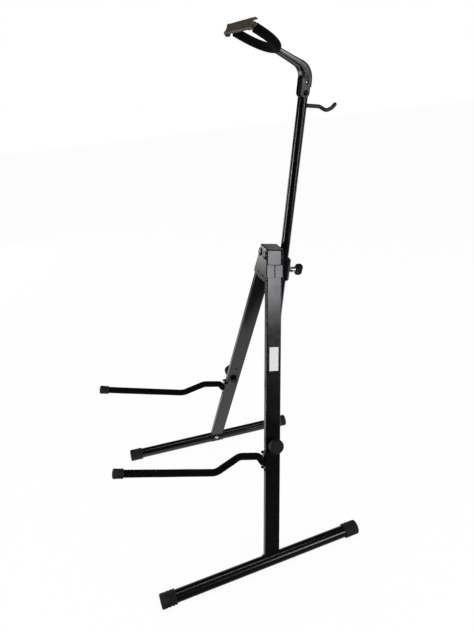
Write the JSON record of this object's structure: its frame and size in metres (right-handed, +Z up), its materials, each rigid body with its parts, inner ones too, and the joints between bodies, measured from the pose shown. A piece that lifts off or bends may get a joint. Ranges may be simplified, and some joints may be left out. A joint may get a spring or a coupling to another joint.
{
  "type": "cello stand",
  "caption": "Folding floor stand for a cello: splayed legs on foot bars, foam covered arms, and a foam covered yoke with a swinging security bar on a sliding neck.",
  "frame": {"origin": "on the floor, under the middle of the stand's bounding box", "axes": "+Z up, +X to the stand's right leg (the one with the label), -Y to the side where the cello stands"},
  "size_m": [0.479, 0.5278, 1.0104],
  "materials": {
    "black_paint": "glossy black enamel on steel",
    "foam": "matte black closed cell foam",
    "cap_rubber": "matte moulded rubber",
    "knob_plastic": "matte moulded plastic",
    "guard_plastic": "satin moulded plastic",
    "bright_steel": "bright zinc plated steel",
    "dark_steel": "blackened steel",
    "brass": "plain brass",
    "nylon": "black nylon",
    "label": "blank white film"
  },
  "bodies": {
    "head": {"head_shell": "black_paint", "head_studs": "dark_steel", "leg_pivot_bolts": "dark_steel", "leg_pivot_nuts": "dark_steel", "neck_clamp": "black_paint", "clamp_bush": "nylon", "clamp_pad": "brass"},
    "clamp_knob": {"clamp_screw": "bright_steel", "clamp_wing_knob": "knob_plastic"},
    "post": {"neck_post": "black_paint", "post_top_plug": "knob_plastic", "post_bottom_plug": "knob_plastic", "bow_hook_rod": "dark_steel", "bow_hook_sleeve": "foam", "neck_pivot_rivet": "dark_steel"},
    "button": {"neck_button": "bright_steel"},
    "neck": {"gooseneck": "black_paint", "yoke_rod": "dark_steel", "yoke_foam": "foam", "guard_pin": "dark_steel"},
    "guard": {"security_bar": "guard_plastic"},
    "right_leg": {"right_leg": "black_paint", "right_leg_plug": "knob_plastic", "right_foot_bar": "black_paint", "right_front_cap": "cap_rubber", "right_back_cap": "cap_rubber", "right_foot_rivet": "bright_steel", "leg_label": "label"},
    "right_arm": {"right_arm_bracket": "black_paint", "right_arm_rod": "dark_steel", "right_arm_foam": "foam", "right_arm_cap": "cap_rubber", "right_arm_nut": "bright_steel"},
    "right_knob": {"right_arm_knob": "knob_plastic"},
    "left_leg": {"left_leg": "black_paint", "left_leg_plug": "knob_plastic", "left_foot_bar": "black_paint", "left_front_cap": "cap_rubber", "left_back_cap": "cap_rubber", "left_foot_rivet": "bright_steel"},
    "left_arm": {"left_arm_bracket": "black_paint", "left_arm_rod": "dark_steel", "left_arm_foam": "foam", "left_arm_cap": "cap_rubber", "left_arm_nut": "bright_steel"},
    "left_knob": {"left_arm_knob": "knob_plastic"}
  },
  "joints": [
    {"name": "right_leg_fold", "type": "hinge", "parent": "head", "child": "right_leg", "pos_m": [0.01246, 0.12225, 0.60361], "axis": [0, 0.9829, -0.184], "range_deg": [0, 18]},
    {"name": "right_arm_fold", "type": "hinge", "parent": "right_leg", "child": "right_arm", "pos_m": [0.13336, 0.05579, 0.24847], "axis": [-0.9483, -0.0584, -0.3119], "range_deg": [0, 85]},
    {"name": "right_knob_turn", "type": "hinge", "parent": "right_arm", "child": "right_knob", "pos_m": [0.13336, 0.05579, 0.24847], "axis": [0.9483, 0.0584, 0.3119], "range_deg": [0, 540]},
    {"name": "left_leg_fold", "type": "hinge", "parent": "head", "child": "left_leg", "pos_m": [-0.01246, 0.12225, 0.60361], "axis": [0, -0.9829, 0.184], "range_deg": [0, 18]},
    {"name": "left_arm_fold", "type": "hinge", "parent": "left_leg", "child": "left_arm", "pos_m": [-0.13336, 0.05579, 0.24847], "axis": [-0.9483, 0.0584, 0.3119], "range_deg": [0, 85]},
    {"name": "left_knob_turn", "type": "hinge", "parent": "left_arm", "child": "left_knob", "pos_m": [-0.13336, 0.05579, 0.24847], "axis": [-0.9483, 0.0584, 0.3119], "range_deg": [0, 540]},
    {"name": "clamp_knob_turn", "type": "hinge", "parent": "head", "child": "clamp_knob", "pos_m": [0, 0.17308, 0.56], "axis": [0, 0.9877, -0.1564], "range_deg": [0, 540]},
    {"name": "neck_slide", "type": "slide", "parent": "head", "child": "post", "axis": [0, 0.1564, 0.9877], "range_m": [-0.255, 0.19]},
    {"name": "button_press", "type": "slide", "parent": "post", "child": "button", "axis": [-1, 0, 0], "range_m": [0, 0.002], "stiffness_N_per_m": 600},
    {"name": "neck_fold", "type": "hinge", "parent": "post", "child": "neck", "pos_m": [0, 0.19736, 0.89229], "axis": [-1, 0, 0], "range_deg": [0, 90]},
    {"name": "guard_swing", "type": "hinge", "parent": "neck", "child": "guard", "pos_m": [-0.06636, 0.08772, 1.00007], "axis": [0, -0.5075, -0.8616], "range_deg": [0, 100]}
  ]
}
